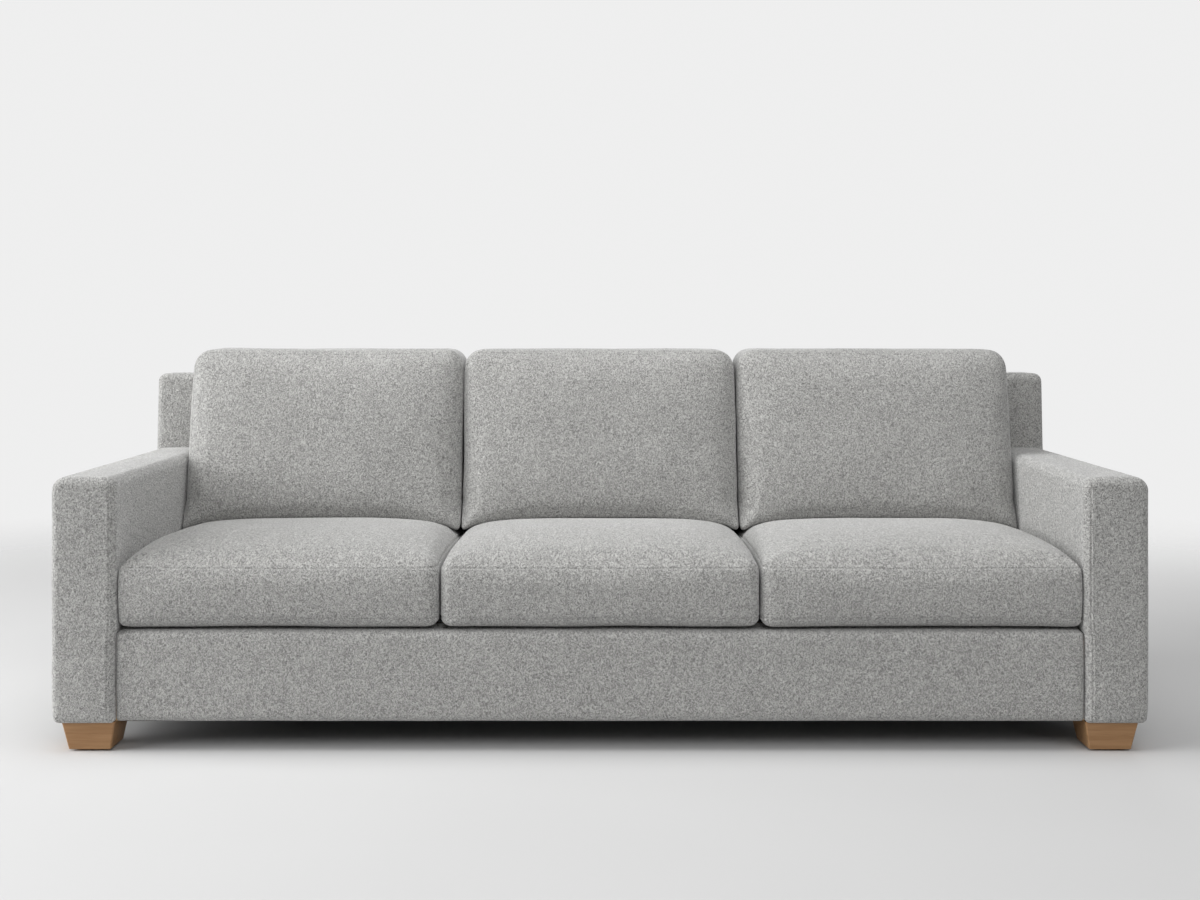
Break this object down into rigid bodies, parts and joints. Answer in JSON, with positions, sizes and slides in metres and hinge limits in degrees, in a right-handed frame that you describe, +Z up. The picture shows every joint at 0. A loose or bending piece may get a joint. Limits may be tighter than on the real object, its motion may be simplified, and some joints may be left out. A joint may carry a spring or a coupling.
{
  "type": "sofa",
  "caption": "Straight upholstered sofa with square track arms, loose box seat cushions, loose back cushions and short tapered wooden block legs.",
  "frame": {"origin": "on the floor under the middle of the sofa: the bottom centre of its bounding box", "axes": "+X to the right as seen from the front along the width, +Y from the front to the back, +Z up"},
  "size_m": [2.39, 0.94, 0.866],
  "materials": {
    "sofa_fabric": "matte",
    "cushion_fabric": "matte",
    "deck_lining": "matte",
    "dust_cloth": "matte",
    "padding_foam": "matte",
    "seat_foam": "matte",
    "back_filling": "matte",
    "deck_felt": "matte",
    "webbing": "matte",
    "frame_timber": "satin",
    "panel_board": "matte",
    "leg_wood": "satin",
    "spring_steel": "satin",
    "zinc_steel": "satin",
    "foot_felt": "matte"
  },
  "bodies": {
    "sofa_frame": {"back_cover": "sofa_fabric", "back_middle_posts": "frame_timber", "back_padding": "padding_foam", "back_sill": "frame_timber", "back_top_rail": "frame_timber", "back_webbing": "webbing", "corner_blocks": "frame_timber", "deck_cloth": "deck_lining", "deck_pad": "deck_felt", "dust_cover": "dust_cloth", "felt_pads": "foot_felt", "front_left_leg": "leg_wood", "front_rail": "frame_timber", "front_rail_cover": "sofa_fabric", "front_rail_padding": "padding_foam", "front_right_leg": "leg_wood", "left_arm_cover": "sofa_fabric", "left_arm_front_post": "frame_timber", "left_arm_inner_panel": "panel_board", "left_arm_outer_panel": "panel_board", "left_arm_padding": "padding_foam", "left_arm_rear_post": "frame_timber", "left_arm_sill": "frame_timber", "left_arm_top_rail": "frame_timber", "left_back_post": "frame_timber", "left_side_rail": "frame_timber", "leg_bolts": "zinc_steel", "leg_inserts": "zinc_steel", "outside_back_board": "panel_board", "outside_back_cover": "sofa_fabric", "rear_left_leg": "leg_wood", "rear_rail": "frame_timber", "rear_right_leg": "leg_wood", "right_arm_cover": "sofa_fabric", "right_arm_front_post": "frame_timber", "right_arm_inner_panel": "panel_board", "right_arm_outer_panel": "panel_board", "right_arm_padding": "padding_foam", "right_arm_rear_post": "frame_timber", "right_arm_sill": "frame_timber", "right_arm_top_rail": "frame_timber", "right_back_post": "frame_timber", "right_side_rail": "frame_timber", "seat_springs": "spring_steel", "seat_stretchers": "frame_timber", "spring_clips": "spring_steel"},
    "seat_cushion_left": {"seat_cushion_left_cover": "cushion_fabric", "seat_cushion_left_core": "seat_foam"},
    "seat_cushion_middle": {"seat_cushion_middle_cover": "cushion_fabric", "seat_cushion_middle_core": "seat_foam"},
    "seat_cushion_right": {"seat_cushion_right_cover": "cushion_fabric", "seat_cushion_right_core": "seat_foam"},
    "back_cushion_left": {"back_cushion_left_cover": "cushion_fabric", "back_cushion_left_core": "back_filling"},
    "back_cushion_middle": {"back_cushion_middle_cover": "cushion_fabric", "back_cushion_middle_core": "back_filling"},
    "back_cushion_right": {"back_cushion_right_cover": "cushion_fabric", "back_cushion_right_core": "back_filling"}
  },
  "joints": [
    {"name": "seat_cushion_left_pull", "type": "slide", "parent": "sofa_frame", "child": "seat_cushion_left", "axis": [0, -1, 0], "range_m": [0, 0.8]},
    {"name": "seat_cushion_middle_pull", "type": "slide", "parent": "sofa_frame", "child": "seat_cushion_middle", "axis": [0, -1, 0], "range_m": [0, 0.8]},
    {"name": "seat_cushion_right_pull", "type": "slide", "parent": "sofa_frame", "child": "seat_cushion_right", "axis": [0, -1, 0], "range_m": [0, 0.8]},
    {"name": "back_cushion_left_lift", "type": "slide", "parent": "sofa_frame", "child": "back_cushion_left", "axis": [0, 0, 1], "range_m": [0, 0.45]},
    {"name": "back_cushion_middle_lift", "type": "slide", "parent": "sofa_frame", "child": "back_cushion_middle", "axis": [0, 0, 1], "range_m": [0, 0.45]},
    {"name": "back_cushion_right_lift", "type": "slide", "parent": "sofa_frame", "child": "back_cushion_right", "axis": [0, 0, 1], "range_m": [0, 0.45]}
  ]
}
